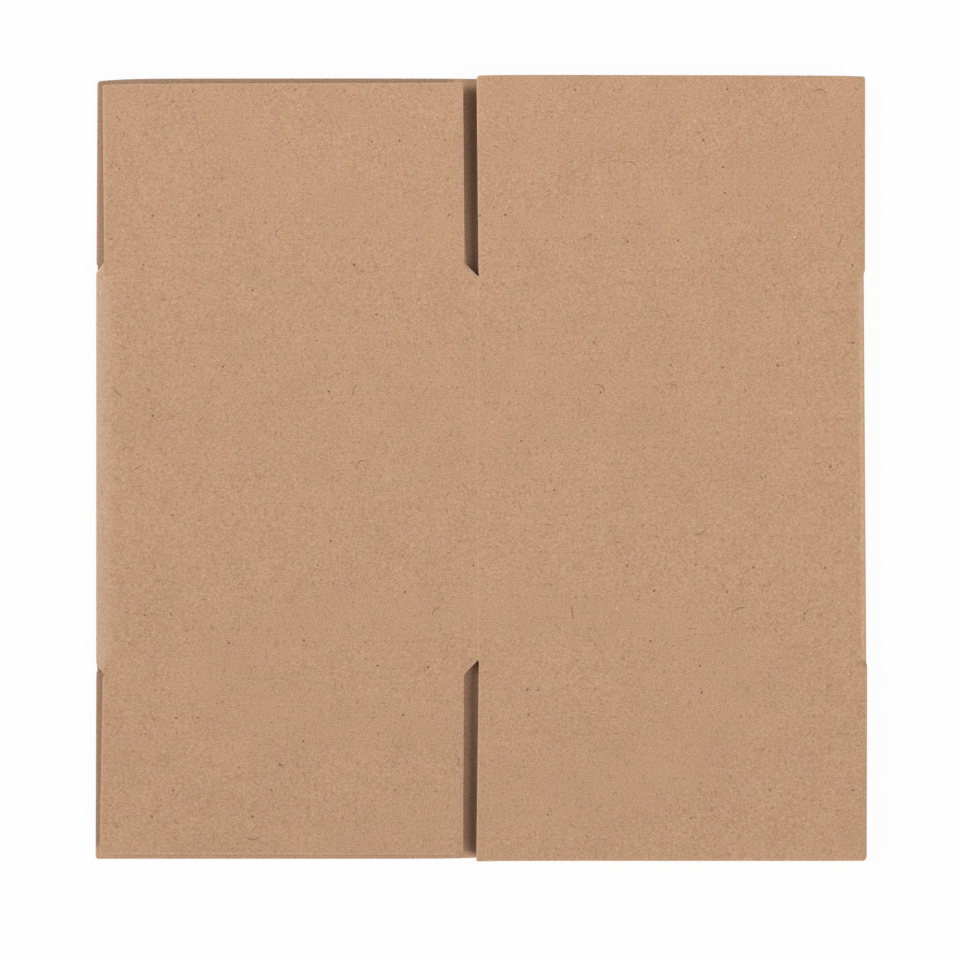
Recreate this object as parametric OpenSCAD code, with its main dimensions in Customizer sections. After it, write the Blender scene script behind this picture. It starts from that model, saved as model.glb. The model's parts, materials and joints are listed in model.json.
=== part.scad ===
// Flattened shipping box: one slotted blank of corrugated kraft board, folded flat and glued.
// It lies on its back. X runs across the panels, Y along the flutes, Z up through the two layers.
// The origin is on the ground at the middle of the outline.

/* [Panels] */
// Width of a narrow panel, from its crease to its fold
narrow_panel_w = 153.6; // [110:0.1:220]
// Width of a wide panel, from its crease to its fold
wide_panel_w = 155.5; // [110:0.1:220]
// Height of the panels, between the creases of the top and bottom flaps
panel_h = 153.8; // [100:0.1:220]
// Gap between the front layer and the back layer
layer_gap = 2; // [1.7:0.1:6]

/* [Flaps] */
// Length of the flaps on the wide panels
wide_flap_l = 80.2; // [50:0.1:100]
// How much shorter the top flaps on the narrow panels are
narrow_top_set_back = 3.4; // [0:0.1:10]
// How much shorter the bottom flaps on the narrow panels are
narrow_bottom_set_back = 1.9; // [0:0.1:10]
// Width of the slots between the flaps
slot_w = 5.4; // [3:0.1:9]
// Sideways drift of a slot at its open end
slot_drift = 0.8; // [0:0.1:1.5]
// Lean of the narrow top flap's outer edge at its free end
top_edge_lean = 0.6; // [0:0.1:2.5]
// Lean of the narrow bottom flap's outer edge at its free end
bottom_edge_lean = 2.2; // [0:0.1:2.5]
// Distance of the wide upper flaps' outer edge from the fold
wide_flap_set_in = 0.5; // [0:0.1:2]
// Rounding of the flaps' free corners
corner_r = 1.8; // [0.5:0.1:4]

/* [Board] */
// Thickness of the corrugated board
board_t = 3; // [2.4:0.1:5]
// Thickness of each flat paper liner
liner_t = 0.4; // [0.25:0.05:0.6]
// Thickness of the waved paper between the liners
medium_t = 0.35; // [0.2:0.05:0.5]
// Length of one wave
flute_pitch = 6.4; // [5:0.1:9]
// Width of the glue line where a wave meets a liner
glue_line_w = 1; // [0.6:0.1:1.5]
// Width of the crushed board along each cut edge, where the waves are closed
crushed_edge = 2; // [1:0.1:4]

/* [Creases] */
// Width of the dent that a creasing wheel leaves
crease_w = 3; // [1:0.1:4]
// Depth of that dent
crease_dent = 0.25; // [0.1:0.05:0.35]
// Knife gap beside a flap, where it parts from the board next to it
knife_gap = 0.15; // [0.05:0.05:0.4]

/* [Glue tab] */
// Width of the tab that closes the tube at the back
tab_w = 34; // [20:1:50]
// Thickness of the pressed tab
tab_t = 1.5; // [0.8:0.1:1.6]
// Angle cut off the tab's ends
tab_end_angle = 12; // [0:1:30]
// Open seam between the two glued edges
seam_w = 0.8; // [0.4:0.1:2]

/* [Hidden] */
kraft = "#c19979";
$fn = 64;

// Heights of the layers and the size of the side folds
front_z = board_t + layer_gap;
top_z = front_z + board_t;
fold_r = top_z / 2;
pinch_r = layer_gap / 2;

// Lengths of the narrow panels' flaps
narrow_top_flap_l = wide_flap_l - narrow_top_set_back;
narrow_bottom_flap_l = wide_flap_l - narrow_bottom_set_back;

// Places across the box
half_w = (narrow_panel_w + wide_panel_w) / 2;
fold_x = half_w - fold_r;
crease_x = narrow_panel_w - half_w;
seam_x = -crease_x;
score_y = panel_h / 2;

// Fields of waves, clear of the cut edges, shared by each panel and its flaps
narrow_field = [-fold_x + crushed_edge, crease_x - slot_w - slot_drift - crushed_edge];
wide_field = [crease_x + crushed_edge, fold_x - crushed_edge];

// One wave's hollow: half width at the liner, depth and number of straight stretches
hollow_half_w = (flute_pitch - glue_line_w) / 2;
hollow_h = board_t - 2 * liner_t - medium_t;
hollow_steps = 5;
corner_steps = 4;
overrun = 1;
glue_bite = 0.05;

function field_count(field) = floor((field[1] - field[0]) / flute_pitch);

function field_start(field) = (field[0] + field[1] - field_count(field) * flute_pitch) / 2;

function wave_depth(x) = hollow_h * (1 + cos(360 * x / flute_pitch)) / 2;

// Section of one hollow, measured up from the liner it opens towards
function hollow_points() = [
    for (i = [0 : hollow_steps])
        let (x = hollow_half_w * (2 * i / hollow_steps - 1))
        [x, i == 0 || i == hollow_steps ? 0 : wave_depth(x)]
];

function arc_points(centre, start) = [
    for (i = [0 : corner_steps])
        let (a = start + 90 * i / corner_steps)
        centre + corner_r * [cos(a), sin(a)]
];

// Free end of a flap between two edges, with rounded corners
function free_end(edges, length) = concat(
    arc_points([edges[1] - corner_r, length - corner_r], 0),
    arc_points([edges[0] + corner_r, length - corner_r], 90)
);

// A wide flap runs straight out from its crease
module wide_outline(base, free, length) {
    polygon(concat([[base[1], 0]], free_end(free, length), [[base[0], 0]]));
}

// A narrow flap is cut back to its slots by pointed shoulders at the crease
module narrow_outline(base, neck, free, length) {
    shoulders = [for (x = [neck[0], neck[1]]) [x, slot_w]];
    polygon(concat(
        [[base[1], 0], shoulders[1]],
        free_end(free, length),
        [shoulders[0], [base[0], 0]]
    ));
}

// Open hollows on both sides of the waved paper, along Y from y0 to y1
module waves(field, z, y0, y1) {
    count = field_count(field);
    start = field_start(field);
    for (i = [0 : count - 1])
        hollow(start + (i + 0.5) * flute_pitch, z + liner_t, 1, y0, y1);
    for (i = [1 : count - 1])
        hollow(start + i * flute_pitch, z + board_t - liner_t, -1, y0, y1);
}

module hollow(x, z, up, y0, y1) {
    translate([x, y1, z])
        rotate([90, 0, 0])
            linear_extrude(y1 - y0)
                polygon([for (p = hollow_points()) [p[0], up * p[1]]]);
}

// Flat tube made by the two layers and the side folds
module tube_section() {
    difference() {
        stadium(fold_r);
        stadium(pinch_r);
        translate([seam_x, -fold_r - overrun])
            square([seam_w, board_t + overrun]);
    }
}

module stadium(r) {
    translate([-fold_x, -r])
        square([2 * fold_x, 2 * r]);
    for (side = [-1, 1])
        translate([side * fold_x, 0])
            circle(r);
}

// The tube ends at the flap creases, apart from a point of board at each side fold,
// which the shoulder of a narrow flap leaves on the narrow panel's half of the fold
module tube() {
    spare = slot_w + overrun;
    difference() {
        translate([0, score_y + spare, fold_r])
            rotate([90, 0, 0])
                linear_extrude(panel_h + 2 * spare)
                    tube_section();
        for (end = [0, 1])
            mirror([0, end, 0]) {
                end_cut(spare + overrun);
                translate([0, 0, top_z])
                    rotate([0, 180, 0])
                        end_cut(spare + overrun);
            }
    }
}

// Cut across the front layer at the top creases
module end_cut(length) {
    outside = half_w + pinch_r;
    translate([0, score_y, fold_r])
        linear_extrude(fold_r + overrun)
            polygon([
                [-fold_x, 0], [outside, 0], [outside, length],
                [-outside, length], [-outside, 0], [-fold_x, slot_w]
            ]);
}

// The back panels' flaps lie on the ground
module lower_flap_pair(narrow_l) {
    translate([0, score_y])
        linear_extrude(board_t) {
            wide_outline([-half_w, seam_x], [-half_w, seam_x], wide_flap_l);
            narrow_outline(
                [seam_x + seam_w, fold_x],
                [seam_x + slot_w, fold_x],
                [seam_x + slot_w + slot_drift, fold_x],
                narrow_l
            );
        }
}

// Glue tab: steps up from the wide back panel onto the inner face of the narrow one
module glue_tab() {
    reach = seam_x + tab_w;
    step_h = board_t - tab_t;
    intersection() {
        translate([0, score_y, 0])
            rotate([90, 0, 0])
                linear_extrude(panel_h)
                    polygon([
                        [seam_x - tab_t - step_h, step_h],
                        [seam_x, step_h],
                        [seam_x + seam_w, board_t - glue_bite],
                        [reach, board_t - glue_bite],
                        [reach, board_t + tab_t],
                        [seam_x, board_t + tab_t],
                        [seam_x - tab_t - step_h, board_t - glue_bite]
                    ]);
        linear_extrude(top_z)
            tab_outline(seam_x - board_t, reach);
    }
}

module tab_outline(near_x, far_x) {
    cut = (far_x - seam_x) * tan(tab_end_angle);
    polygon([
        [near_x, -score_y], [seam_x, -score_y], [far_x, cut - score_y],
        [far_x, score_y - cut], [seam_x, score_y], [near_x, score_y]
    ]);
}

// Dents of the creasing wheels, on the inner faces of both layers
module crease_dents() {
    translate([crease_x - crease_w / 2, -score_y - overrun, front_z - overrun])
        cube([crease_w, panel_h + 2 * overrun, overrun + crease_dent]);
    for (side = [-1, 1])
        translate([-fold_x, side * score_y - crease_w / 2, board_t - crease_dent])
            cube([2 * fold_x, crease_w, layer_gap + 2 * crease_dent]);
}

// The half of such a dent that lies on an upper flap
module flap_dent() {
    translate([-half_w - overrun, -crease_w / 2, -overrun])
        cube([2 * (half_w + overrun), crease_w, overrun + crease_dent]);
}

module folded_case() {
    end_y = score_y + wide_flap_l + overrun;
    color(kraft)
        difference() {
            union() {
                tube();
                lower_flap_pair(narrow_top_flap_l);
                mirror([0, 1, 0])
                    lower_flap_pair(narrow_bottom_flap_l);
                glue_tab();
            }
            waves(narrow_field, front_z, -score_y - overrun, score_y + overrun);
            waves(wide_field, front_z, -score_y - overrun, score_y + overrun);
            mirror([1, 0, 0]) {
                waves(narrow_field, 0, -end_y, end_y);
                waves(wide_field, 0, -end_y, end_y);
            }
            crease_dents();
        }
}

// A narrow upper flap, pointing up the page
module narrow_upper_flap(edge_lean, length) {
    left = -fold_x + knife_gap;
    right = crease_x - slot_w;
    translate([0, score_y, front_z])
        difference() {
            linear_extrude(board_t)
                narrow_outline(
                    [left, crease_x - knife_gap],
                    [left, right - knife_gap],
                    [left - edge_lean, right - slot_drift],
                    length
                );
            waves(narrow_field, 0, -overrun, length + overrun);
            flap_dent();
        }
}

// A wide upper flap, pointing up the page
module wide_upper_flap(length) {
    right = half_w - wide_flap_set_in;
    translate([0, score_y, front_z])
        difference() {
            linear_extrude(board_t)
                wide_outline([crease_x + knife_gap, right], [crease_x - slot_drift, right], length);
            waves(wide_field, 0, -overrun, length + overrun);
            flap_dent();
        }
}

module narrow_flap_top() {
    color(kraft)
        narrow_upper_flap(top_edge_lean, narrow_top_flap_l);
}

module narrow_flap_bottom() {
    color(kraft)
        mirror([0, 1, 0])
            narrow_upper_flap(bottom_edge_lean, narrow_bottom_flap_l);
}

module wide_flap_top() {
    color(kraft)
        wide_upper_flap(wide_flap_l);
}

module wide_flap_bottom() {
    color(kraft)
        mirror([0, 1, 0])
            wide_upper_flap(wide_flap_l);
}

folded_case();
narrow_flap_top();
narrow_flap_bottom();
wide_flap_top();
wide_flap_bottom();
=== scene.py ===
# %% [markdown]
# # A flattened cardboard box
# A shipping box leaves the factory flat: one sheet of corrugated board, slotted at both ends, creased,
# folded over at the sides and glued along one edge. The solids of the part are loaded first, because they
# hold every size and every joint. This lesson then lays real paper in their place: two liners, a waved
# paper between them, crushed edges, worn folds, painted highlight and sheen, and a fibrous kraft finish.

# %% Load the part
import json
import math
from dataclasses import dataclass

import bmesh
import bpy
import numpy as np
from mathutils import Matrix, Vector


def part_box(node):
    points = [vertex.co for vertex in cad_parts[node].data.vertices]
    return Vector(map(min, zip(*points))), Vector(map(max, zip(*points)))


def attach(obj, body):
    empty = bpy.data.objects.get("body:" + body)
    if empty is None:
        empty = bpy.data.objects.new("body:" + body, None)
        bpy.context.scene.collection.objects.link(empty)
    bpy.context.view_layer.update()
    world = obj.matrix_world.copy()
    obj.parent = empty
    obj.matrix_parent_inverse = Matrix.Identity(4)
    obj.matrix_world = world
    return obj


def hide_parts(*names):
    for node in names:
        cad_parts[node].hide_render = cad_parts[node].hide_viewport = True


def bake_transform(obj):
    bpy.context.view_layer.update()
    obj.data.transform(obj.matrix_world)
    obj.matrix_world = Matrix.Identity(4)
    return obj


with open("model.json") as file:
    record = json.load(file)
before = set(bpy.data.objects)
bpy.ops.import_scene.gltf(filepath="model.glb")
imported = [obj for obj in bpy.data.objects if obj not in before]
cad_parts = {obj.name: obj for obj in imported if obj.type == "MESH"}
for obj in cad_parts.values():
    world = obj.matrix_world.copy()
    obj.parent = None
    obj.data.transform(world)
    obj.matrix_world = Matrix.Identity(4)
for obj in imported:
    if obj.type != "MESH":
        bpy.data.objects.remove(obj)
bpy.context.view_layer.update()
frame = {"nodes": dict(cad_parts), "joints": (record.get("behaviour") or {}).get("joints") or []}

MM = 0.001

# %% [markdown]
# ## Measure before drawing
# The paper has to land exactly where the solids are, so the sizes are read off the solids instead of being
# typed in again. The boxes of the case and of two flaps give the layers, the folds and the crease down the
# front, and a hinge gives the line where the flaps bend. Only what no box shows is written as a number:
# the slot, the knife gap beside a flap, and the papers themselves.

# %% Measure the blank
case_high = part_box("folded_case")[1]
narrow_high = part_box("narrow_flap_top")[1]
wide_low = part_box("wide_flap_top")[0]
hinge = next(joint for joint in frame["joints"] if joint["name"] == "wide_top_crease")

top_z = case_high.z
front_z = wide_low.z
board_t = top_z - front_z
layer_gap = front_z - board_t
fold_z = top_z / 2
pinch_r = layer_gap / 2
half_w = case_high.x
fold_x = half_w - fold_z
score_y = hinge["pos_m"][1]
full_opening = math.radians(hinge["range_deg"][1])

knife_gap = 0.15 * MM
hair_gap = 0.03 * MM
slot_w = 5.4 * MM
seam_w = 0.8 * MM
crease_x = narrow_high.x + knife_gap
seam_x = -crease_x
slot_drift = crease_x - wide_low.x

liner_t = 0.4 * MM
medium_t = 0.35 * MM
flute_pitch = 6.4 * MM
print("board", round(board_t / MM, 2), "mm, flap creases at", round(score_y / MM, 1), "mm")

# %% [markdown]
# ## Rolling the blank round its folds
# The box is one strip of board that has been bent round two folds. It could be modelled bent, but it is
# easier to think of the strip laid out flat: `p` runs across it and `h` rises from its inner face to its
# outer face. One function bends any such point round the folds, and every paper goes through it. On the
# front layer `p` is simply the place across the box, and past a fold it runs on along the back layer.

# %% Bend the strip
neutral_r = pinch_r + board_t / 2
round_trip = 2 * fold_x + math.pi * neutral_r
FRONT, BACK_LEFT, BACK_RIGHT = 0, -1, 1


def ease(share):
    """A smooth step from 0 to 1."""
    share = np.clip(share, 0, 1)
    return share * share * (3 - 2 * share)


def fold_turn(p):
    """How far the strip has turned round the nearer fold, from 0 on the front to half a turn."""
    return np.clip((np.abs(p) - fold_x) / neutral_r, 0, math.pi)


def on_tube(p, h):
    """Place across the box and height of a point of the folded strip."""
    turn = fold_turn(p)
    along_front = np.minimum(np.abs(p), fold_x)
    along_back = np.maximum(np.abs(p) - fold_x - math.pi * neutral_r, 0)
    x = np.sign(p) * (along_front + (pinch_r + h) * np.sin(turn) - along_back)
    return x, fold_z + (pinch_r + h) * np.cos(turn)


def strip_place(x, layer):
    """Where a point seen from above lies on the flat strip."""
    return layer * round_trip - x if layer else x


seam_left_p = strip_place(seam_x, BACK_LEFT)
seam_right_p = strip_place(seam_x + seam_w, BACK_RIGHT)
print("strip is", round((seam_right_p - seam_left_p) / MM, 1), "mm long from seam to seam")

# %% [markdown]
# ## Letting the board settle
# Real board is never dead flat or dead square. On this box the right side leans out towards the bottom,
# the back layer drifts sideways at the left, and the front layer bows up a little and sinks towards the
# bottom. A lattice or a sculpt could do this, but a small formula is repeatable and moves all papers
# together, so the seams between neighbours stay shut.

# %% Settle the board
right_lean = 0.52 * MM
back_drift = 0.35 * MM
front_bow = 0.45 * MM
front_sink = 0.6 * MM


def settle(x, y, z):
    """Leans the outline and bows the front layer, and returns points."""
    front_share = ease((z - board_t) / layer_gap)
    across = np.clip(x / half_w, -1, 1)
    along = np.clip(y / score_y, -1, 1)
    lean = -right_lean * along * np.maximum(across, 0)
    drift = back_drift * y / (2 * score_y) * np.maximum(-across, 0) * (1 - front_share)
    middle = np.maximum(1 - (x / fold_x) ** 2, 0)
    bow = middle * (front_bow * (1 - along**2) - front_sink * (1 - along) / 2)
    return np.stack([x + lean + drift, y, z + bow * front_share], -1)


def place(p, y, h, layer=FRONT, loose=0):
    """Points of the strip. A flap comes loose from the roll of the fold as loose goes to 1."""
    x, z = on_tube(p, h)
    flat_x = layer * round_trip - p if layer else p
    flat_z = board_t - h if layer else front_z + h
    return settle(x + (flat_x - x) * loose, y, z + (flat_z - z) * loose)


low_corner = settle(half_w, -score_y, fold_z)
print("right fold leans out by", round((low_corner[0] - half_w) / MM, 2), "mm at the bottom")

# %% [markdown]
# ## A sheet of paper as a mesh
# Paper is thin, but it isn't a plane: a plane has no edge to catch light and no inside. Each paper here is
# a grid of points for its upper face, a second grid for its lower face, and a wall round the rim, so every
# sheet is a closed solid. Two things ride along on each point. `rest` is its place on the box at rest, for
# textures that stay put when a flap bends. `wear` says how near it is to a cut edge, a fold and a crease,
# where the paper is lightened as wear and as painted highlight and sheen.

# %% Make closed sheets
OUTER, INNER, WAVED = 0, 1, 2


def grid_quads(index):
    """Four-sided faces between neighbouring points of a grid."""
    corners = [index[:-1, :-1], index[1:, :-1], index[1:, 1:], index[:-1, 1:]]
    return np.stack(corners, -1).reshape(-1, 4)


def paper_sheet(over, under, wear, finish):
    """A closed sheet between two grids of points, with the wear of each point and its finish."""
    count = over.shape[0] * over.shape[1]
    index = np.arange(count).reshape(over.shape[:2])
    rim = np.concatenate([index[:-1, 0], index[-1, :-1], index[:0:-1, -1], index[0, :0:-1]])
    ahead = np.roll(rim, -1)
    wall = np.stack([rim, rim + count, ahead + count, ahead], -1)
    upper = grid_quads(index)
    points = np.concatenate([over.reshape(-1, 3), under.reshape(-1, 3)])
    return {
        "points": points,
        "rest": points.copy(),
        "faces": np.concatenate([upper, upper[:, ::-1] + count, wall]),
        "wear": np.concatenate([wear.reshape(-1, 3)] * 2),
        "finish": finish,
    }


print("a grid of 3 by 4 points has", len(grid_quads(np.arange(12).reshape(3, 4))), "faces on each side")

# %% [markdown]
# ## Joining sheets into one piece
# A flap is three papers glued together, so its sheets become one object with three material slots. The
# faces are turned outwards by `recalc_face_normals`, which works because every sheet is closed. Shading is
# smooth, with edges kept sharp past an angle, so the waves look round and the cut edges stay crisp.

# %% Build a piece
sharp_angle = math.radians(38)


def build_piece(name, sheets):
    """One mesh object from a list of sheets."""
    mesh = bpy.data.meshes.new(name)
    starts = np.cumsum([0] + [len(sheet["points"]) for sheet in sheets])
    points = np.concatenate([sheet["points"] for sheet in sheets])
    faces = np.concatenate([sheet["faces"] + start for sheet, start in zip(sheets, starts)])
    finishes = np.concatenate([np.full(len(sheet["faces"]), sheet["finish"]) for sheet in sheets])
    mesh.from_pydata(points.tolist(), [], faces.tolist())
    mesh.polygons.foreach_set("material_index", finishes.astype(np.int32))
    shell = bmesh.new()
    shell.from_mesh(mesh)
    bmesh.ops.recalc_face_normals(shell, faces=shell.faces)
    shell.to_mesh(mesh)
    shell.free()
    for label in ("rest", "wear"):
        values = np.concatenate([sheet[label] for sheet in sheets]).astype(np.float32)
        stored = mesh.attributes.new(label, "FLOAT_VECTOR", "POINT")
        stored.data.foreach_set("vector", values.ravel())
    mesh.shade_smooth()
    mesh.set_sharp_from_angle(angle=sharp_angle)
    piece = bpy.data.objects.new(name, mesh)
    bpy.context.scene.collection.objects.link(piece)
    print(name, "has", len(sheets), "sheets and", len(mesh.polygons), "faces")
    return piece


# %% [markdown]
# ## The waves of the fluting
# Between the liners of corrugated board runs a third paper, pressed into waves and glued to both liners at
# each crest. A cosine gives the wave. It is settled before the liners are, because they follow it: wet glue
# draws a liner in between the crests, and on finished board this shows as faint stripes along the flutes.

# %% Find the waves
narrow_margin = 2 * MM
wave_field = (-fold_x + narrow_margin, crease_x - slot_w - slot_drift - narrow_margin)
wave_count = math.floor((wave_field[1] - wave_field[0]) / flute_pitch)
wave_start = (sum(wave_field) - wave_count * flute_pitch) / 2


def wave_share(p):
    """Height of the wave between the liners, from 0 to 1. The back layer is the front one turned over."""
    layer = np.where(fold_turn(p) > math.pi / 2, np.sign(p), 0)
    x = np.where(layer == 0, p, p - layer * round_trip)
    return 0.5 - 0.5 * np.cos(2 * math.pi * (x - wave_start) / flute_pitch)


print(wave_count, "waves fit a narrow panel, from", round(wave_start / MM, 2), "mm")

# %% [markdown]
# ## Where knives and wheels press the board
# Slotting knives crush the board as they cut, so its outer liner dips towards a cut edge. Creasing wheels
# press a groove into the inner face where a flap will bend, and on the front crease they raise a thin bead
# on the outside. A bump texture could fake it, but these are heights of a fraction of a millimetre in the
# mesh, given by short formulas, so that light from the side finds a real edge to catch.

# %% Press the board
side_crush = 0.28 * MM
side_crush_w = 1.6 * MM
end_crush = 0.18 * MM
end_crush_w = 1.0 * MM
inner_crush = 0.35
groove_depth = 0.25 * MM
groove_w = 0.9 * MM
bead_h = 0.07 * MM
bead_w = 0.5 * MM
fold_crush = 1.2 * MM
stripe_depth = 0.05 * MM


def dip(distance, width):
    """1 at a cut edge, falling to 0 at the given distance from it."""
    return np.clip(1 - distance / width, 0, 1) ** 2


def ridge(distance, width):
    """A soft ridge of height 1."""
    return np.exp(-((distance / width) ** 2))


def flap_faces(p, side, end, run):
    """Heights of the inner and outer face of a flap, from the distances to its sides, end and crease."""
    crush = side_crush * dip(side, side_crush_w) + end_crush * dip(end, end_crush_w)
    inner = inner_crush * crush + groove_depth * ridge(run, groove_w) + stripe_depth * wave_share(p)
    return inner, board_t - crush - stripe_depth * (1 - wave_share(p))


def tube_faces(p, y):
    """Heights of the inner and outer face of the panels and folds."""
    groove = groove_depth * np.maximum(ridge(score_y - np.abs(y), groove_w), ridge(p - crease_x, groove_w))
    turn = fold_turn(p)
    seam = np.minimum(p - seam_left_p, seam_right_p - p)
    crush = side_crush * dip(seam, side_crush_w)
    stripes = stripe_depth * np.cos(turn) ** 2
    inner = groove + fold_crush * np.sin(turn) ** 2 + inner_crush * crush + stripes * wave_share(p)
    return inner, board_t - crush + bead_h * ridge(p - crease_x, bead_w) - stripes * (1 - wave_share(p))


print("board is", round((board_t - (1 + inner_crush) * side_crush) / MM, 2), "mm thick at a cut side")

# %% [markdown]
# ## Three papers between two faces
# The two faces of the board are known at every point now, so the papers only have to be laid between them.
# The liners are offsets of the faces. The fluting swings from one to the other, and it is squeezed flat
# by itself wherever the board is crushed. From above nothing of it shows, but it does at the board's ends.

# %% Lay the three papers
def liners(faces, wear, put):
    """The outer and the inner liner between the two faces of the board."""
    inner, outer = faces
    return [
        paper_sheet(put(outer), put(outer - liner_t), wear, OUTER),
        paper_sheet(put(inner + liner_t), put(inner), wear, INNER),
    ]


def fluting(faces, p, put):
    """The waved paper between the liners."""
    low = faces[0] + liner_t + medium_t / 2
    high = faces[1] - liner_t - medium_t / 2
    middle = low + (high - low) * wave_share(p)
    bare = np.zeros(p.shape + (3,))
    return paper_sheet(put(middle + medium_t / 2), put(middle - medium_t / 2), bare, WAVED)


print("a wave is", round((board_t - 2 * liner_t - medium_t) / MM, 2), "mm high")

# %% [markdown]
# ## The flat tube: panels, folds and seam
# The case is the strip between the flap creases. Its grid lines crowd together at the folds, at the front
# crease and at the glued seam, where the shape changes fast, and over the flat panels they follow the waves.
# An even grid would be simpler, but it would need far more faces for the same folds.

# %% Grid of the tube
near_edge = np.array([0, 0.3, 0.6, 1.0, 1.6, 2.6, 4.2]) * MM
near_end = np.array([0, 0.4, 0.8, 1.2, 1.8, 2.6, 4.0, 6.0, 8.0]) * MM
beside_fold = np.array([1.0, 2.2, 4.0, 6.5]) * MM
fold_steps = 18
inside_fold = 0.001 * MM
sliver = 0.05 * MM
half_waves = 2 * math.ceil(2 * fold_x / flute_pitch)
quarter_gap = 0.8 * MM
panel_row = 20 * MM


def spread(start, end, spacing):
    """Evenly spread values between two ends, without the ends."""
    count = max(int(round(abs(end - start) / spacing)), 1)
    return np.linspace(start, end, count + 1)[1:-1]


def tube_columns():
    """Places across the strip, from seam to seam."""
    roll = np.linspace(0, math.pi * neutral_r, fold_steps + 1)
    roll[0] += inside_fold
    roll[-1] -= inside_fold
    arc = np.concatenate([fold_x + roll, [fold_x - sliver, fold_x + math.pi * neutral_r + sliver]])
    beside = np.concatenate([fold_x - beside_fold, fold_x + math.pi * neutral_r + beside_fold])
    crease = np.concatenate([crease_x - near_edge[1:], crease_x + near_edge])
    seams = np.concatenate([seam_left_p + near_edge, seam_right_p - near_edge])
    fine = np.concatenate([arc, -arc, beside, -beside, crease, seams])
    quarters = wave_start + np.arange(-half_waves, half_waves + 1) * flute_pitch / 4
    waves = np.concatenate([quarters - round_trip, quarters, quarters + round_trip])
    clear = np.abs(waves[:, None] - fine).min(1) > quarter_gap
    inside = (waves > seam_left_p) & (waves < seam_right_p) & (fold_turn(waves) % math.pi == 0)
    return np.sort(np.concatenate([fine, waves[clear & inside]]))


def tube_rows():
    """Places along the tube, from crease to crease."""
    half = np.concatenate([score_y - near_end, spread(score_y - near_end[-1], 0, panel_row)])
    return np.sort(np.concatenate([-half, half, [0]]))


print("tube grid:", len(tube_columns()), "by", len(tube_rows()), "points")

# %% [markdown]
# ## Small points of board at the side folds
# Where a slot ends at a side fold, its slanted end leaves a small point of board on the narrow panel's half
# of the fold. It could be cut out with a boolean, which would leave ragged triangles on so tight a roll.
# Here the last rows of the grid are drawn out along the box instead, by a length that falls off round the
# roll and ends bluntly on its outermost line.

# %% Points of board
point_blunt = math.radians(15)


def fold_point(p, h):
    """How far the board runs on past the crease at a side fold."""
    turn = np.where(p < 0, fold_turn(p), math.pi - fold_turn(p))
    out = (pinch_r + h) * np.sin(turn)
    slant = slot_w * (1 - out / (fold_z + pinch_r))
    on_point = (turn > 0) & (turn < math.pi / 2)
    return np.where(on_point, slant * ease((math.pi / 2 - turn) / point_blunt), 0)


def tube_y(p, y, h):
    """Place along the box, with the points of board drawn out at the ends."""
    share = ease((np.abs(y) - score_y + near_end[-1]) / near_end[-1])
    return y + np.sign(y) * share * fold_point(p, h)


print("a point is", round(float(fold_point(-fold_x - sliver, board_t)) / MM, 1), "mm long")

# %% [markdown]
# ## Where the tube is worn and where light is painted
# The left fold gets a broad band that turns pale and a little pink: rubbed wear, and a painted sheen of the
# round fold. The right fold has only one thin light line just inside its edge, a painted highlight on its
# wear, like the bead of the front crease, so those two share one kind of mark. The cut edges at the seam
# and on the points show bare pulp with a painted highlight. A mask could be painted for all this, but the
# distances are known here, so short formulas write the three kinds of mark onto the points.

# %% Wear and painted light of the tube
rim_w = 0.9 * MM
# The left fold's pale band is rubbed wear and a painted sheen of the round fold.
left_fold_w = 6.2 * MM
# The right fold's thin light line is a painted highlight as well as wear; it shares the crease channel.
right_fold_in = 1.8 * MM
right_fold_w = 1.0 * MM
right_fold_highlight_and_wear = 0.8
front_crease_wear = 0.18


def tube_wear_and_painted_light(p, y):
    """Cut edge, fold and crease wear of the panels and folds, with their painted highlights and sheen."""
    seam = np.minimum(p - seam_left_p, seam_right_p - p)
    # The pale rim of cut edges is bare pulp and a painted highlight.
    tip = np.where(fold_point(p, board_t) > sliver, score_y - np.abs(y), rim_w)
    cut = np.clip(1 - np.minimum(seam, tip) / rim_w, 0, 1)
    left_fold_wear_and_sheen = ease(1 - (fold_x + p) / left_fold_w)
    right_fold_highlight = ridge(half_w - right_fold_in - on_tube(p, board_t)[0], right_fold_w)
    crease = right_fold_highlight_and_wear * right_fold_highlight + front_crease_wear * ridge(p - crease_x, bead_w)
    return np.stack([cut, left_fold_wear_and_sheen, crease], -1)


print("left fold is rubbed over", round(left_fold_w / MM, 1), "mm")

# %% Sheets of the tube
tube_wave_columns = 776
tube_wave_rows = [0, 2, 4, 8, -9, -5, -3, -1]


def tube_sheets():
    """Liners and fluting of the panels and folds. The hidden fluting needs only a few of the rows."""
    p, y = np.meshgrid(tube_columns(), tube_rows(), indexing="ij")
    sheets = liners(tube_faces(p, y), tube_wear_and_painted_light(p, y), lambda h: place(p, tube_y(p, y, h), h))
    columns = np.linspace(seam_left_p + knife_gap, seam_right_p - knife_gap, tube_wave_columns)
    wave_p, wave_y = np.meshgrid(columns, tube_rows()[tube_wave_rows], indexing="ij")
    faces = tube_faces(wave_p, wave_y)
    sheets.append(fluting(faces, wave_p, lambda h: place(wave_p, tube_y(wave_p, wave_y, h), h)))
    return sheets


tube = tube_sheets()
print("tube has", sum(len(sheet["faces"]) for sheet in tube), "faces")

# %% [markdown]
# ## Flaps as grids between two edges
# A flap is a rectangle with small liberties: its sides lean, a narrow flap is cut back to the slots by a
# pointed shoulder, and its free corners are rounded. Each outline is a list of knots, one for the crease,
# one for the shoulder and one for the free end, with the left and the right edge at each. A curve object
# could hold the outline too, but knots can be read off the solids and a grid can be stretched between them.

# %% Outlines of the flaps
flap_boxes = {name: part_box(name) for name in frame["nodes"] if "flap" in name}


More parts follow.
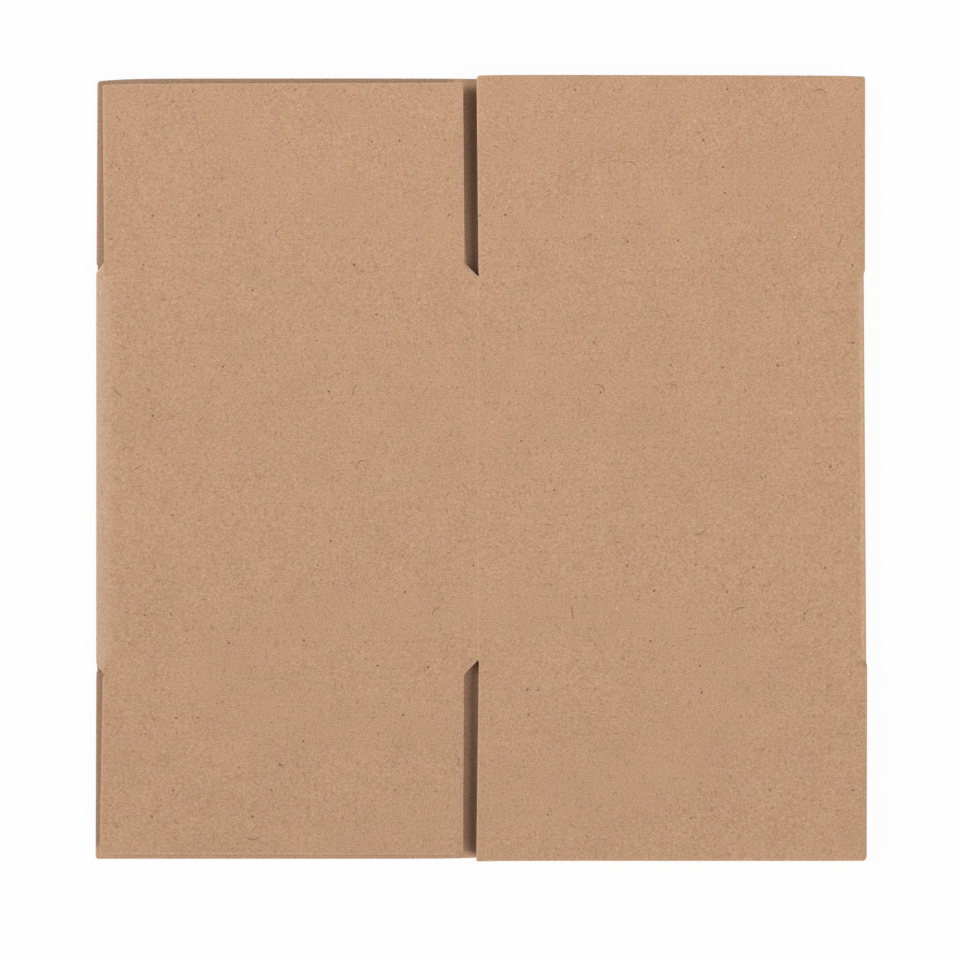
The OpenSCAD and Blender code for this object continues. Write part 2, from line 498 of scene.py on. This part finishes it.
def flap_length(name):
    """Length of an upper flap from its crease to its free end."""
    low, high = flap_boxes[name]
    return max(high.y, -low.y) - score_y


def narrow_upper(name):
    """Knots of a narrow upper flap: distance from the crease, left edge, right edge."""
    left = -fold_x + hair_gap
    right = crease_x - slot_w
    return [
        (0, left, crease_x - knife_gap),
        (slot_w, left, right - knife_gap),
        (flap_length(name), flap_boxes[name][0].x, right - slot_drift),
    ]


def wide_upper(name):
    """Knots of a wide upper flap."""
    low, high = flap_boxes[name]
    return [(0, crease_x + knife_gap, high.x), (flap_length(name), low.x, high.x)]


def narrow_lower(name):
    """Knots of the narrow flap of the back layer, as long as the upper narrow flap at the same end."""
    return [
        (0, seam_x + seam_w, fold_x),
        (slot_w, seam_x + slot_w, fold_x),
        (flap_length(name), seam_x + slot_w + slot_drift, fold_x),
    ]


def wide_lower(name):
    """Knots of the wide flap of the back layer."""
    return [(0, -half_w, seam_x), (flap_length(name), -half_w, seam_x)]


print("flap lengths in mm:", {name: round(flap_length(name) / MM, 1) for name in sorted(flap_boxes)})

# %% [markdown]
# ## What makes one flap unlike the next
# No two flaps of a real box lie alike. One corner springs up and another sags, a corner is blunted in
# handling, an end falls back towards an ear, a side leans out. These few values are kept apart from the
# outlines, as a small class with plain defaults, so that each flap states only what is its own.

# %% Character of a flap
@dataclass
class Character:
    """Liberties of one flap in millimetres.

    Rise, corner and ear are for its left and its right side, a lean is for its shoulder and its free end,
    and the pale rim is the share of bare pulp and painted edge highlight along its sides and along its end.
    """

    rise: tuple = (0, 0)
    corner: tuple = (0.6, 0.6)
    ear: tuple = (0, 0)
    lean_left: tuple = (0, 0)
    lean_right: tuple = (0, 0)
    pale_rim_and_highlight: tuple = (1, 1)
    longer: float = 0


narrow_top = Character(
    rise=(-0.4, 1.7), corner=(0.5, 0.5), ear=(0.4, 0), longer=0.26,
    lean_left=(0.15, 0.32), lean_right=(0.1, 0.12), pale_rim_and_highlight=(0.7, 0.9),
)
narrow_bottom = Character(
    rise=(0.0, 1.3), corner=(0.6, 0.5), longer=-0.72,
    lean_left=(0.65, -0.05), lean_right=(-0.2, 0.1), pale_rim_and_highlight=(0.6, 0.4),
)
wide_top = Character(
    rise=(1.7, 0.3), corner=(1.4, 0.9), ear=(0.35, 0.4),
    lean_left=(0, -0.12), lean_right=(0.3, 0.3), pale_rim_and_highlight=(0.6, 0.4),
)
wide_bottom = Character(
    rise=(0.5, 0.2), corner=(0.5, 1.6), ear=(-0.25, 0.1),
    lean_left=(-0.12, -0.02), lean_right=(0.15, -0.1), pale_rim_and_highlight=(0.6, 0.3),
)
wide_under_top = Character(
    corner=(1.0, 0.6), ear=(1.2, 0.25), lean_left=(0.4, 0.15), pale_rim_and_highlight=(0.1, 0),
)
wide_under_bottom = Character(
    corner=(1.2, 0.6), ear=(0, 0.6), lean_left=(0.1, 0.22), pale_rim_and_highlight=(0.1, 0), longer=0.2,
)
print("highest rise of a free corner:", max(narrow_top.rise + wide_top.rise), "mm")

# %% [markdown]
# ## The grid of a flap
# The liners need fine rows where the board bends and along the cut edges, and few in between. The fluting
# needs many columns, eight to a wave, but few rows. Both grids go through one function. It keeps the
# columns at fixed distances from the sides, so that the crushed rim has the same width all the way, and it
# draws back the last rows for the rounded corners.

# %% Outline and free end
edge_band = near_edge[-1]
lean_run = 1.2 * MM
cut_run = 1.2 * MM
ear_w = 9 * MM


def outline_at(knots, run, own):
    """Left and right edge of a flap at distances from its crease."""
    reach, left, right = np.array(knots).T
    shoulder = [0, reach[-2], reach[-2] + lean_run, reach[-1]]
    lean_left = np.interp(run, shoulder, [0, 0, *own.lean_left]) * MM
    lean_right = np.interp(run, shoulder, [0, 0, *own.lean_right]) * MM
    return np.interp(run, reach, left) - lean_left, np.interp(run, reach, right) + lean_right


def end_drop(from_left, from_right, own):
    """How far the free end falls back at its rounded corners and towards its ears."""
    drop = -own.longer * MM
    for distance, corner, ear in zip((from_left, from_right), own.corner, own.ear):
        radius = corner * MM
        inside = np.clip(radius - distance, 0, radius)
        drop = drop + radius - np.sqrt(radius**2 - inside**2) + ear * MM * np.exp(-distance / ear_w)
    return drop


def flap_places(knots, rows, share, offset, own):
    """Places of a flap's grid, with the distances to its sides and its free end."""
    length = knots[-1][0]
    left, right = outline_at(knots, rows, own)
    x = left + offset[:, None] + share[:, None] * (right - left - offset[-1])
    end = np.broadcast_to(length - rows, x.shape)
    run = length - end - end_drop(x - left, right - x, own) * np.clip(1 - end / edge_band, 0, 1)
    uncut_left = edge_band * (1 - ease((rows - knots[-2][0]) / cut_run))
    uncut_right = edge_band * (1 - ease(rows / cut_run))
    return x, run, np.minimum(x - left + uncut_left, right - x + uncut_right), end


wide_left, wide_right = outline_at(wide_upper("wide_flap_top"), 0, wide_top)
print("wide flap is", round(float(wide_right - wide_left) / MM, 1), "mm wide at its crease")

# %% Grids of the papers
bend_rows = np.array([0, 0.4, 0.8, 1.2, 1.6, 2.0, 2.5, 3.2, 4.2, 5.4, 7.0]) * MM
flap_row = 6 * MM
wave_row_start = 12 * MM
wave_row_ends = np.array([1.0, 0.3]) * MM
columns_per_wave = 8


def liner_grid(knots, spacing, own):
    """Grid of the liners, fine along the crease and the cut edges."""
    length = knots[-1][0]
    middle = spread(bend_rows[-1], length - edge_band, flap_row)
    rows = np.concatenate([bend_rows, middle, length - near_edge[::-1]])
    inner_share = np.linspace(0, 1, int((knots[0][2] - knots[0][1]) / spacing))
    edge_share = np.zeros(len(near_edge) - 1)
    share = np.concatenate([edge_share, inner_share, edge_share + 1])
    far_side = 2 * edge_band - near_edge[-2::-1]
    offset = np.concatenate([near_edge[:-1], np.full(len(inner_share), edge_band), far_side])
    return flap_places(knots, rows, share, offset, own)


def wave_grid(knots, own):
    """Grid of the fluting, a little inside the liners."""
    length = knots[-1][0]
    middle = np.linspace(wave_row_start, length - edge_band, 3)
    rows = np.concatenate([bend_rows[:-2:2], middle, length - wave_row_ends])
    share = np.linspace(0, 1, int((knots[0][2] - knots[0][1]) / (flute_pitch / columns_per_wave)))
    return flap_places(knots, rows, share, knife_gap + 0 * share, own)


print("a bend has", len(bend_rows), "rows over", round(bend_rows[-1] / MM, 1), "mm")

# %% [markdown]
# ## The papers of a flap
# Close to its crease a flap still belongs to the roll of the side fold. Over a few millimetres it comes
# loose and lies flat, and its free corners rise in a soft curve. The inner liner of an upper flap is seen
# only when the flap is open and drawn round the bend. Texture would stretch there, so the grain of that
# liner is laid out over the length that it has when it is open.

# %% Sheets of a flap
unroll_upper = 2.5 * MM
unroll_lower = 6 * MM
rise_bend = 1.3
bend_arc = board_t * full_opening
hidden_spacing = 6 * MM


def flap_sheets(knots, end_sign, own, layer=FRONT, spacing=hidden_spacing):
    """Liners and fluting of a flap with its own character."""
    unroll = unroll_lower if layer else unroll_upper
    length, first, last = knots[-1][0], knots[0][1], knots[0][2]

    def placer(x, run):
        p = strip_place(x, layer)
        across = (x - first) / (last - first)
        rise = (own.rise[0] + (own.rise[1] - own.rise[0]) * across) * MM * (run / length) ** rise_bend

        def put(h):
            points = place(p, end_sign * (score_y + run), h, layer, ease(run / unroll))
            points[..., 2] += rise
            return points

        return p, put

    x, run, side, end = liner_grid(knots, spacing, own)
    p, put = placer(x, run)
    # The pale rim along the cut sides and end is bare pulp and a painted highlight.
    cut = np.maximum(own.pale_rim_and_highlight[0] * (1 - side / rim_w), own.pale_rim_and_highlight[1] * (1 - end / rim_w))
    wear = np.stack([np.maximum(cut, 0), np.zeros_like(cut), np.zeros_like(cut)], -1)
    sheets = liners(flap_faces(p, side, end, run), wear, put)
    if layer == FRONT:
        drawn_out = end_sign * bend_arc * ease(run / unroll).ravel()
        sheets[INNER]["rest"][:, 1] += np.tile(drawn_out, 2)
    x, run, side, end = wave_grid(knots, own)
    p, put = placer(x, run)
    return sheets + [fluting(flap_faces(p, side, end, run), p, put)]


print("inner liner is", round(bend_arc / MM, 1), "mm longer round an open bend")

# %% [markdown]
# ## The glue tab
# The strip is closed at the back by a tab: a tongue of the wide panel, pressed thin, that steps up through
# the seam and is glued to the inner face of the narrow panel. It hides between the layers, but a lifted
# flap lets you look in. It is one more closed sheet, with its ends cut at a slant.

# %% Sheet of the glue tab
tab_w = 34 * MM
tab_t = 1.5 * MM
tab_cut_back = 1.6 * MM
tab_end_slope = math.tan(math.radians(12))
tab_clear = 0.02 * MM
tab_step_start = -2.4 * MM
tab_step_w = 2.8 * MM
tab_columns = np.array([-2.6, -2, -1.4, -0.8, -0.2, 0.4, 1, 2, 6, 14, 24, 32, 33.4, 34]) * MM
tab_rows = np.linspace(-1, 1, 15)


def tab_sheet():
    """The tab that closes the tube at the back."""
    x, along = np.meshgrid(seam_x + tab_columns, tab_rows, indexing="ij")
    reach = score_y - tab_cut_back - tab_end_slope * np.maximum(x - seam_x, 0)
    step = ease((x - seam_x - tab_step_start) / tab_step_w)
    foot = board_t - tab_t + (tab_t + tab_clear) * step
    wear = np.zeros(x.shape + (3,))
    wear[..., 0] = np.clip(1 - (seam_x + tab_w - x) / rim_w, 0, 1)
    over = np.stack([x, along * reach, foot + tab_t], -1)
    under = np.stack([x, along * reach, foot], -1)
    return paper_sheet(over, under, wear, INNER)


glue_tab = tab_sheet()
print("glue tab has", len(glue_tab["faces"]), "faces")

# %% [markdown]
# ## Which flap goes where
# The lower flaps lie under the upper ones and can't open before them, so they belong to the case, with the
# tube and the tab. They could be pieces of their own, but on the real box they are the same sheet of board.

# %% Build the case
case_sheets = tube + [glue_tab]
for end_sign, narrow_name, wide_name, own in (
    (1, "narrow_flap_top", "wide_flap_top", wide_under_top),
    (-1, "narrow_flap_bottom", "wide_flap_bottom", wide_under_bottom),
):
    case_sheets += flap_sheets(wide_lower(wide_name), end_sign, own, BACK_LEFT)
    case_sheets += flap_sheets(narrow_lower(narrow_name), end_sign, Character(), BACK_RIGHT)
case_board = build_piece("case_board", case_sheets)
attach(case_board, "case")
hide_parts("folded_case")
pieces = [case_board]

# %% [markdown]
# ## The upper flaps
# Each upper flap is a piece of its own, built from its outline and its own character. Their grid is finer
# across, because their stripes are seen.

# %% Build the upper flaps
stripe_spacing = flute_pitch / 6
for body, node, outline, end_sign, own in (
    ("narrow_top", "narrow_flap_top", narrow_upper, 1, narrow_top),
    ("narrow_bottom", "narrow_flap_bottom", narrow_upper, -1, narrow_bottom),
    ("wide_top", "wide_flap_top", wide_upper, 1, wide_top),
    ("wide_bottom", "wide_flap_bottom", wide_upper, -1, wide_bottom),
):
    sheets = flap_sheets(outline(node), end_sign, own, spacing=stripe_spacing)
    flap = build_piece(node + "_board", sheets)
    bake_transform(flap)
    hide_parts(node)
    pieces.append(flap)

# %% [markdown]
# ## Small helpers for shader nodes
# A node tree written by hand is long: make a node, set its sockets, link it, again and again. One helper
# takes a node's type and a table of sockets, where a value is set and another node's output is linked. A
# second one makes a group with named sockets, since grain, wear and specks are shared by three papers.

# %% Node helpers
def add_node(tree, kind, sockets=None, **settings):
    """A node with its settings, and its sockets set or linked."""
    made = tree.nodes.new(kind)
    for name, value in settings.items():
        setattr(made, name, value)
    for key, value in (sockets or {}).items():
        if isinstance(value, bpy.types.NodeSocket):
            tree.links.new(value, made.inputs[key])
        else:
            made.inputs[key].default_value = value
    return made


def maths(tree, operation, *terms, clamp=False):
    """The output of a Math node."""
    sockets = dict(enumerate(terms))
    return add_node(tree, "ShaderNodeMath", sockets, operation=operation, use_clamp=clamp).outputs[0]


def vector_maths(tree, operation, *terms):
    """The vector output of a Vector Math node."""
    return add_node(tree, "ShaderNodeVectorMath", dict(enumerate(terms)), operation=operation).outputs[0]


def in_millimetres(tree, place):
    """A place in millimetres, so that sizes in a texture are plain numbers."""
    return vector_maths(tree, "MULTIPLY", place, (1 / MM, 1 / MM, 1 / MM))


def noise(tree, place, scale, detail, roughness=0.5):
    """The value of a noise texture."""
    sockets = {"Vector": place, "Scale": scale, "Detail": detail, "Roughness": roughness}
    return add_node(tree, "ShaderNodeTexNoise", sockets).outputs[0]


def mix_colour(tree, share, first, second, blend="MIX"):
    """A colour between two colours."""
    sockets = {0: share, 6: first, 7: second}
    settings = {"data_type": "RGBA", "blend_type": blend, "clamp_factor": True}
    return add_node(tree, "ShaderNodeMix", sockets, **settings).outputs[2]


def smooth_range(tree, value, low, high, to_low=0.0, to_high=1.0):
    """A value eased from one range into another."""
    sockets = {"Value": value, 1: low, 2: high, 3: to_low, 4: to_high}
    return add_node(tree, "ShaderNodeMapRange", sockets, interpolation_type="SMOOTHSTEP").outputs[0]


# %% Groups and colours
def new_group(name, inputs, outputs):
    """A shader node group with named sockets: the group, its inputs and its outputs."""
    group = bpy.data.node_groups.new(name, "ShaderNodeTree")
    for label, kind, value in inputs:
        socket = group.interface.new_socket(label, in_out="INPUT", socket_type="NodeSocket" + kind)
        socket.default_value = value
    for label, kind in outputs:
        group.interface.new_socket(label, in_out="OUTPUT", socket_type="NodeSocket" + kind)
    return group, group.nodes.new("NodeGroupInput").outputs, group.nodes.new("NodeGroupOutput").inputs


def linear(red, green, blue):
    """A colour from picture values of 0 to 255, with alpha."""
    values = [channel / 255 for channel in (red, green, blue)]
    return [v / 12.92 if v <= 0.04045 else ((v + 0.055) / 1.055) ** 2.4 for v in values] + [1]


white = (1, 1, 1, 1)
plain_kraft = (0.5, 0.3, 0.2, 1)
print("a picture grey of 128 is", round(linear(128, 128, 128)[0], 3), "in linear light")

# %% [markdown]
# ## Kraft paper: fibres, clouds and tints
# Kraft paper is a felt of wood fibres. Close up it has a fine grain, drawn out a little across the flutes
# by the paper machine. From further away there are soft clouds where the felt is thicker, and patches that
# lean to pink or to yellow, as the pulp was never quite mixed. Layered noise at several sizes gives all of
# it. An image could hold the same grain, but it would repeat and blur, while noise has no end.

# %% Group for the grain
machine_draw = (0.8, 1.0, 1.0)
fuzz_share = 0.5
mean_height = 0.5 + 0.5 * fuzz_share
grain_by_channel = (0.64, 1.02, 1.56)
tint_shift = (310, 170, 90)
yellow_tint = (0.982, 1.012, 0.972, 1)
pink_tint = (1.02, 0.988, 1.03, 1)


def grain_group():
    """Kraft paper from noise at several sizes."""
    group, given, put = new_group(
        "kraft grain",
        [
            ("Place", "Vector", (0, 0, 0)),
            ("Paper", "Color", plain_kraft),
            ("Grain", "Float", 1.0),
            ("Clouds", "Float", 1.0),
            ("Tints", "Float", 1.0),
        ],
        [("Color", "Color"), ("Height", "Float")],
    )
    place_mm = in_millimetres(group, given["Place"])
    drawn = vector_maths(group, "MULTIPLY", place_mm, machine_draw)
    shifted = vector_maths(group, "ADD", place_mm, tint_shift)
    fibres = noise(group, drawn, scale=1.7, detail=1.5, roughness=0.6)
    fuzz = noise(group, place_mm, scale=3.0, detail=1.0)
    clouds = noise(group, place_mm, scale=0.07, detail=3.0, roughness=0.6)
    tints = noise(group, shifted, scale=0.1, detail=4.5, roughness=0.7)
    height = maths(group, "ADD", fibres, maths(group, "MULTIPLY", fuzz, fuzz_share))
    swing = maths(group, "MULTIPLY", maths(group, "SUBTRACT", height, mean_height), given["Grain"])
    drift = maths(group, "MULTIPLY", maths(group, "SUBTRACT", clouds, 0.5), given["Clouds"])
    pale_grain = vector_maths(group, "MULTIPLY", swing, grain_by_channel)
    shade = vector_maths(group, "ADD", pale_grain, maths(group, "ADD", drift, 1.0))
    tinted = mix_colour(group, smooth_range(group, tints, low=0.3, high=0.7), yellow_tint, pink_tint)
    tint = mix_colour(group, given["Tints"], white, tinted)
    paper = mix_colour(group, 1.0, given["Paper"], tint, "MULTIPLY")
    group.links.new(vector_maths(group, "MULTIPLY", paper, shade), put["Color"])
    group.links.new(height, put["Height"])
    return group


kraft_grain = grain_group()
print(kraft_grain.name, "has", len(kraft_grain.nodes), "nodes")

# %% [markdown]
# ## Specks and stray fibres
# Bits of bark show up as dark specks a fraction of a millimetre wide, pale ones are undyed pulp, and now
# and then a single coarse fibre lies on top in a curve. They could be painted by hand, but a Voronoi
# texture scatters one feature point in each cell. The distance to that point draws a speck, and the same
# offset, turned by a random angle and bent, draws a fibre. All sizes are in millimetres.

# %% Masks of scattered marks
speck_core, speck_rim = 0.5, 1.2
fibre_core, fibre_body = 0.3, 0.6


def scattered(tree, place, cell):
    """The offset from the nearest scattered point, in millimetres, and that point's random colour."""
    sockets = {"Vector": place, "Scale": 1 / cell}
    found = add_node(tree, "ShaderNodeTexVoronoi", sockets, voronoi_dimensions="2D")
    flat = vector_maths(tree, "MULTIPLY", place, (1, 1, 0))
    chance = add_node(tree, "ShaderNodeSeparateColor", {"Color": found.outputs["Color"]})
    return vector_maths(tree, "SUBTRACT", flat, found.outputs["Position"]), chance.outputs


def speck_mask(tree, place, cell, radii, share, strength):
    """Round specks of random size on a share of the scattered points."""
    offset, chance = scattered(tree, place, cell)
    distance = add_node(tree, "ShaderNodeVectorMath", {0: offset}, operation="LENGTH").outputs["Value"]
    radius = smooth_range(tree, chance[0], 0, 1, *radii)
    spot = smooth_range(tree, maths(tree, "DIVIDE", distance, radius), speck_core, speck_rim, 1, 0)
    shown = maths(tree, "MULTIPLY", spot, maths(tree, "LESS_THAN", chance[1], share))
    return maths(tree, "MULTIPLY", shown, strength)


def fibre_mask(tree, place, cell, length, width, share, strength):
    """Short bent fibres, each turned by a random angle, on a share of the scattered points."""
    offset, chance = scattered(tree, place, cell)
    turn = {"Vector": offset, "Angle": maths(tree, "MULTIPLY", chance[0], 2 * math.pi)}
    turned = add_node(tree, "ShaderNodeVectorRotate", turn, rotation_type="Z_AXIS").outputs[0]
    along, across = add_node(tree, "ShaderNodeSeparateXYZ", {0: turned}).outputs[:2]
    curve = maths(tree, "DIVIDE", chance[2], length)
    bend = maths(tree, "MULTIPLY", maths(tree, "MULTIPLY", along, along), curve)
    from_line = maths(tree, "ABSOLUTE", maths(tree, "SUBTRACT", across, bend))
    from_middle = maths(tree, "ABSOLUTE", along)
    line = smooth_range(tree, from_line, width * fibre_core, width, 1, 0)
    body = smooth_range(tree, from_middle, length * fibre_body, length, 1, 0)
    kept = maths(tree, "LESS_THAN", chance[1], share)
    shown = maths(tree, "MULTIPLY", maths(tree, "MULTIPLY", line, body), kept)
    return maths(tree, "MULTIPLY", shown, strength)


# %% Group for the specks
scatter_shift = (57, 23, 0)
pepper_tone = linear(163, 120, 88)
bark_tone = linear(100, 64, 46)
pulp_tone = linear(226, 210, 192)


def specks_group():
    """Dark specks, pale specks and stray fibres over a paper's colour."""
    group, given, put = new_group(
        "specks and fibres",
        [("Place", "Vector", (0, 0, 0)), ("Color", "Color", plain_kraft), ("Amount", "Float", 1.0)],
        [("Color", "Color")],
    )
    place_mm = in_millimetres(group, given["Place"])
    shifted = vector_maths(group, "ADD", place_mm, scatter_shift)
    dark = speck_mask(group, place_mm, cell=10, radii=(0.25, 0.56), share=0.15, strength=0.78)
    pepper = speck_mask(group, shifted, cell=2.2, radii=(0.25, 0.5), share=0.35, strength=0.55)
    pale = speck_mask(group, shifted, cell=38, radii=(0.25, 0.55), share=0.3, strength=0.5)
    short = fibre_mask(group, shifted, cell=6.0, length=1.2, width=0.35, share=0.3, strength=0.33)
    long = fibre_mask(group, place_mm, cell=30, length=3.0, width=0.38, share=0.14, strength=0.5)
    bark = maths(group, "MAXIMUM", dark, maths(group, "MAXIMUM", short, long))
    colour = given["Color"]
    for mask, tone in ((pepper, pepper_tone), (bark, bark_tone)):
        colour = mix_colour(group, maths(group, "MULTIPLY", mask, given["Amount"]), colour, tone)
    group.links.new(mix_colour(group, pale, colour, pulp_tone), put["Color"])
    return group


specks_and_fibres = specks_group()
print(specks_and_fibres.name, "has", len(specks_and_fibres.nodes), "nodes")

# %% [markdown]
# ## Wear and painted light along edges, folds and creases
# A cut edge is ragged and pale, because the knife opens the fibres, and its pale rim is also a painted
# highlight. The left fold is stretched and rubbed, so its skin turns lighter and a little pink, and that
# band is also a painted sheen. The front crease shows as a thin light line of wear, and the right fold as
# a thin painted highlight on its wear. The `wear` values on the points say where. Noise breaks them up,
# since wear is never even.

# %% Group for the wear and painted light
# Tone of the left fold band: wear and a painted sheen.
fold_wear_and_sheen_tone = linear(216, 186, 168)
# Tone of the front crease wear and of the right fold's painted highlight.
crease_wear_and_highlight_tone = linear(238, 196, 158)
# Tone of cut edges: bare pulp and a painted edge highlight.
cut_pulp_and_highlight_tone = linear(226, 196, 170)


def wear_and_painted_light_group():
    """Lightens a paper's colour along cut edges, folds and creases, as wear and as painted highlight and
    sheen.
    """
    group, given, put = new_group(
        "handling wear",
        [
            ("Place", "Vector", (0, 0, 0)),
            ("Color", "Color", plain_kraft),
            ("Wear", "Vector", (0, 0, 0)),
            ("Edge", "Float", 0.5),
            ("Fold", "Float", 0.5),
            ("Crease", "Float", 0.5),
        ],
        [("Color", "Color")],
    )
    cut, fold, crease = add_node(group, "ShaderNodeSeparateXYZ", {0: given["Wear"]}).outputs
    patches = noise(group, in_millimetres(group, given["Place"]), scale=0.6, detail=3.0)
    ragged = smooth_range(group, patches, low=0.25, high=0.75, to_low=0.45, to_high=1.3)
    colour = given["Color"]
    for mark, amount, tone in (
        (fold, given["Fold"], fold_wear_and_sheen_tone),
        (crease, given["Crease"], crease_wear_and_highlight_tone),
        (cut, given["Edge"], cut_pulp_and_highlight_tone),
    ):
        share = maths(group, "MULTIPLY", maths(group, "MULTIPLY", mark, amount), ragged, clamp=True)
        colour = mix_colour(group, share, colour, tone)
    group.links.new(colour, put["Color"])
    return group


handling_wear_and_painted_light = wear_and_painted_light_group()
print(handling_wear_and_painted_light.name, "has", len(handling_wear_and_painted_light.nodes), "nodes")

# %% [markdown]
# ## Three papers, one recipe
# The outer liner, the inner liner and the fluting are all kraft, in slightly different shades. Each gets
# its own material with its own values in the same groups. The Principled BSDF stays in the material. Paper
# is rough and barely shines, and a faint bump from the grain keeps low light from sliding over it.

# %% Materials
paper_roughness = 0.86
paper_specular = 0.3
bump_height = 0.06 * MM
bump_strength = 0.5


def paper_material(name, colour, grain, clouds, tints, specks, edge, fold=0.0, crease=0.0):
    """A kraft paper with its own tone, grain and wear, with painted highlight and sheen."""
    material = bpy.data.materials.new(name)
    material.use_nodes = True
    tree = material.node_tree
    shader = tree.nodes["Principled BSDF"]
    rest = add_node(tree, "ShaderNodeAttribute", attribute_name="rest").outputs["Vector"]
    # The wear attribute drives both real wear and painted highlight and sheen.
    wear = add_node(tree, "ShaderNodeAttribute", attribute_name="wear").outputs["Vector"]

    felt = {"Place": rest, "Paper": colour, "Grain": grain, "Clouds": clouds, "Tints": tints}
    paper = add_node(tree, "ShaderNodeGroup", felt, node_tree=kraft_grain).outputs
    marks = {"Place": rest, "Color": paper["Color"], "Amount": specks}
    flecked = add_node(tree, "ShaderNodeGroup", marks, node_tree=specks_and_fibres).outputs
    rubbed = {"Place": rest, "Color": flecked["Color"], "Wear": wear}
    rubbed.update({"Edge": edge, "Fold": fold, "Crease": crease})
    worn = add_node(tree, "ShaderNodeGroup", rubbed, node_tree=handling_wear_and_painted_light).outputs
    relief = {"Height": paper["Height"], "Strength": bump_strength, "Distance": bump_height}
    bump = add_node(tree, "ShaderNodeBump", relief).outputs

    tree.links.new(worn["Color"], shader.inputs["Base Color"])
    tree.links.new(bump["Normal"], shader.inputs["Normal"])
    shader.inputs["Roughness"].default_value = paper_roughness
    shader.inputs["Specular IOR Level"].default_value = paper_specular
    return material


# The edge, fold and crease amounts set wear and painted highlight and sheen on each paper.
outer_liner = paper_material(
    "outer liner", linear(195, 155, 122),
    grain=1.06, clouds=0.17, tints=0.9, specks=1.0, edge=0.5, fold=0.31, crease=0.8,
)
inner_liner = paper_material(
    "inner liner", linear(201, 162, 132), grain=1.15, clouds=0.15, tints=0.8, specks=0.8, edge=0.6
)
waved_paper = paper_material(
    "waved paper", linear(168, 130, 98), grain=0.7, clouds=0.2, tints=0.6, specks=0.5, edge=0.0
)

for piece in pieces:
    for paper in (outer_liner, inner_liner, waved_paper):
        piece.data.materials.append(paper)
print("dressed", len(pieces), "pieces")

# %% [markdown]
# ## A table and a sky
# The box lies on white, in light so soft that it leaves no hard shadow. More light on the floor would make
# it white too, but it would bleach the board. So the floor shows white to the camera through the Light
# Path node and keeps a share of its own shading, and a pale world fills in the shadows.

# %% Floor and world
white_share = 0.95
floor_grey = (0.88, 0.88, 0.88, 1)
floor_reach = 3.0
floor_drop = 0.2 * MM
sky_level = 0.2


def seen_directly(tree):
    """1 for rays that show the background: camera, glossy and transmission rays."""
    path = add_node(tree, "ShaderNodeLightPath").outputs
    mirrored = maths(tree, "MAXIMUM", path["Is Glossy Ray"], path["Is Transmission Ray"])
    return maths(tree, "MAXIMUM", path["Is Camera Ray"], mirrored)


corners = [(-1, -1), (1, -1), (1, 1), (-1, 1)]
floor_points = [(floor_reach * x, floor_reach * y, -floor_drop) for x, y in corners]
floor_mesh = bpy.data.meshes.new("floor")
floor_mesh.from_pydata(floor_points, [], [(0, 1, 2, 3)])
floor = bpy.data.objects.new("floor", floor_mesh)
bpy.context.scene.collection.objects.link(floor)

floor_paint = bpy.data.materials.new("white floor")
floor_paint.use_nodes = True
floor_tree = floor_paint.node_tree
floor_tree.nodes.clear()
matte = add_node(floor_tree, "ShaderNodeBsdfDiffuse", {"Color": floor_grey})
glow = add_node(floor_tree, "ShaderNodeEmission", {"Color": white, "Strength": 1.0})
glow_share = maths(floor_tree, "MULTIPLY", seen_directly(floor_tree), white_share)
blend = {0: glow_share, 1: matte.outputs[0], 2: glow.outputs[0]}
mixed = add_node(floor_tree, "ShaderNodeMixShader", blend)
add_node(floor_tree, "ShaderNodeOutputMaterial", {"Surface": mixed.outputs[0]})
floor_mesh.materials.append(floor_paint)

world = bpy.data.worlds.new("pale sky")
world.use_nodes = True
world_tree = world.node_tree
sky = world_tree.nodes["Background"]
sky.inputs["Color"].default_value = white
sky_strength = smooth_range(world_tree, seen_directly(world_tree), 0, 1, sky_level, 1.0)
world_tree.links.new(sky_strength, sky.inputs["Strength"])
bpy.context.scene.world = world
print("floor is", 2 * floor_reach, "m wide under a sky of", sky_level)

# %% [markdown]
# ## Two soft boxes
# A large area light on each side shapes the edges. The right one stands towards the bottom of the picture
# and the left one towards the top, so each end's strip of back flap is lit by one and shaded from the other,
# and the slots are darker on their right side. A single light would leave one end too bright. A narrow
# spread, like the grid on a real soft box, and an aim past the top of the box let the light fall off a
# little towards the bottom.

# %% Soft boxes
lamp_target = Vector((0, 0.85, 0))
lamp_spread = math.radians(60)


def soft_box(name, place, size, watts):
    """A large square light, turned past the top of the box."""
    light = bpy.data.lights.new(name, "AREA")
    light.shape = "SQUARE"
    light.size = size
    light.spread = lamp_spread
    light.energy = watts
    lamp = bpy.data.objects.new(name, light)
    lamp.location = place
    lamp.rotation_euler = (lamp_target - lamp.location).to_track_quat("-Z", "Y").to_euler()
    bpy.context.scene.collection.objects.link(lamp)
    print(name, "is", size, "m wide and gives", watts, "W")


soft_box("right soft box", (2.75, -2.2, 2.65), size=3.0, watts=26.2)
soft_box("left soft box", (-2.75, 0.9, 1.72), size=2.4, watts=20.1)

# %% [markdown]
# ## The camera
# The camera looks straight down from 700 mm above the front face. That height follows from how much
# smaller the back flaps look than the front ones. The lens then gives 0.4 mm to a pixel on the front face.

# %% Camera
picture_width = 384 * MM
camera_height = 700 * MM
camera_x = -0.24 * MM
camera_y = -4.67 * MM
camera_data = bpy.data.cameras.new("camera")
camera_data.sensor_width = 36
camera_data.lens = camera_data.sensor_width * camera_height / picture_width
camera_data.clip_start = 0.01
camera = bpy.data.objects.new("camera", camera_data)
camera.location = (camera_x, camera_y, top_z + camera_height)
bpy.context.scene.collection.objects.link(camera)
bpy.context.scene.camera = camera
bpy.context.scene.view_settings.view_transform = "Standard"
print("lens", round(camera_data.lens, 1), "mm")
